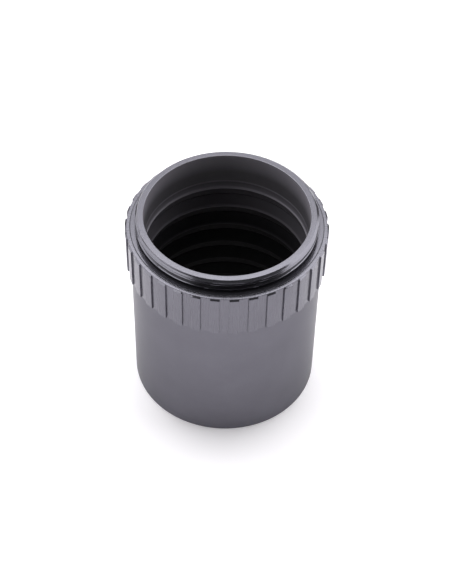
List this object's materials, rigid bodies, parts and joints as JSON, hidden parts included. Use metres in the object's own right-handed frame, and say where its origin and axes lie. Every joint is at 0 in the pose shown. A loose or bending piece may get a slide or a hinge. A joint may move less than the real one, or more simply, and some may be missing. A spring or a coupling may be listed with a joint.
{
  "type": "baffled nosepiece tube",
  "caption": "Open two-inch laser collimator nosepiece tube with a fine male thread, a ribbed grip collar and stacked knife-edge baffle rings in its bore.",
  "frame": {"origin": "middle of the barrel's bottom face, on the optical axis", "axes": "+Z along the optical axis from the plain barrel end to the threaded end; -Y is the front"},
  "size_m": [0.0534, 0.0534, 0.0594],
  "materials": {
    "barrel": "fine bead-blasted, anodised violet grey",
    "collar": "milled ribs, anodised violet grey, satin",
    "nose": "fine turned, anodised violet grey, satin",
    "baffle": "black anodised, dull",
    "retainer": "black anodised, satin"
  },
  "bodies": {
    "barrel_body": {"barrel": "barrel", "grip_collar": "collar"},
    "front_baffle": {"baffle_ring_1": "baffle"},
    "nose": {"threaded_nose": "nose"},
    "baffle_stack": {"baffle_ring_2": "baffle", "baffle_ring_3": "baffle", "baffle_ring_4": "baffle", "baffle_ring_5": "baffle", "baffle_ring_6": "baffle"},
    "retainer": {"retaining_ring": "retainer"}
  },
  "joints": [
    {"name": "nose_lift", "type": "slide", "parent": "barrel_body", "child": "front_baffle", "axis": [0, 0, 1], "range_m": [0, 0.0045]},
    {"name": "nose_turn", "type": "hinge", "parent": "front_baffle", "child": "nose", "pos_m": [0, 0, 0.054], "axis": [0, 0, 1], "range_deg": [0, 2160]},
    {"name": "stack_drop", "type": "slide", "parent": "barrel_body", "child": "baffle_stack", "axis": [0, 0, -1], "range_m": [0, 0.0045]},
    {"name": "retainer_turn", "type": "hinge", "parent": "baffle_stack", "child": "retainer", "pos_m": [0, 0, 0.0075], "axis": [0, 0, -1], "range_deg": [0, 2160]}
  ],
  "couplings": [
    {"joint": "nose_lift", "follows": "nose_turn", "m_per_rad": 0.00011937},
    {"joint": "stack_drop", "follows": "retainer_turn", "m_per_rad": 0.00011937}
  ]
}
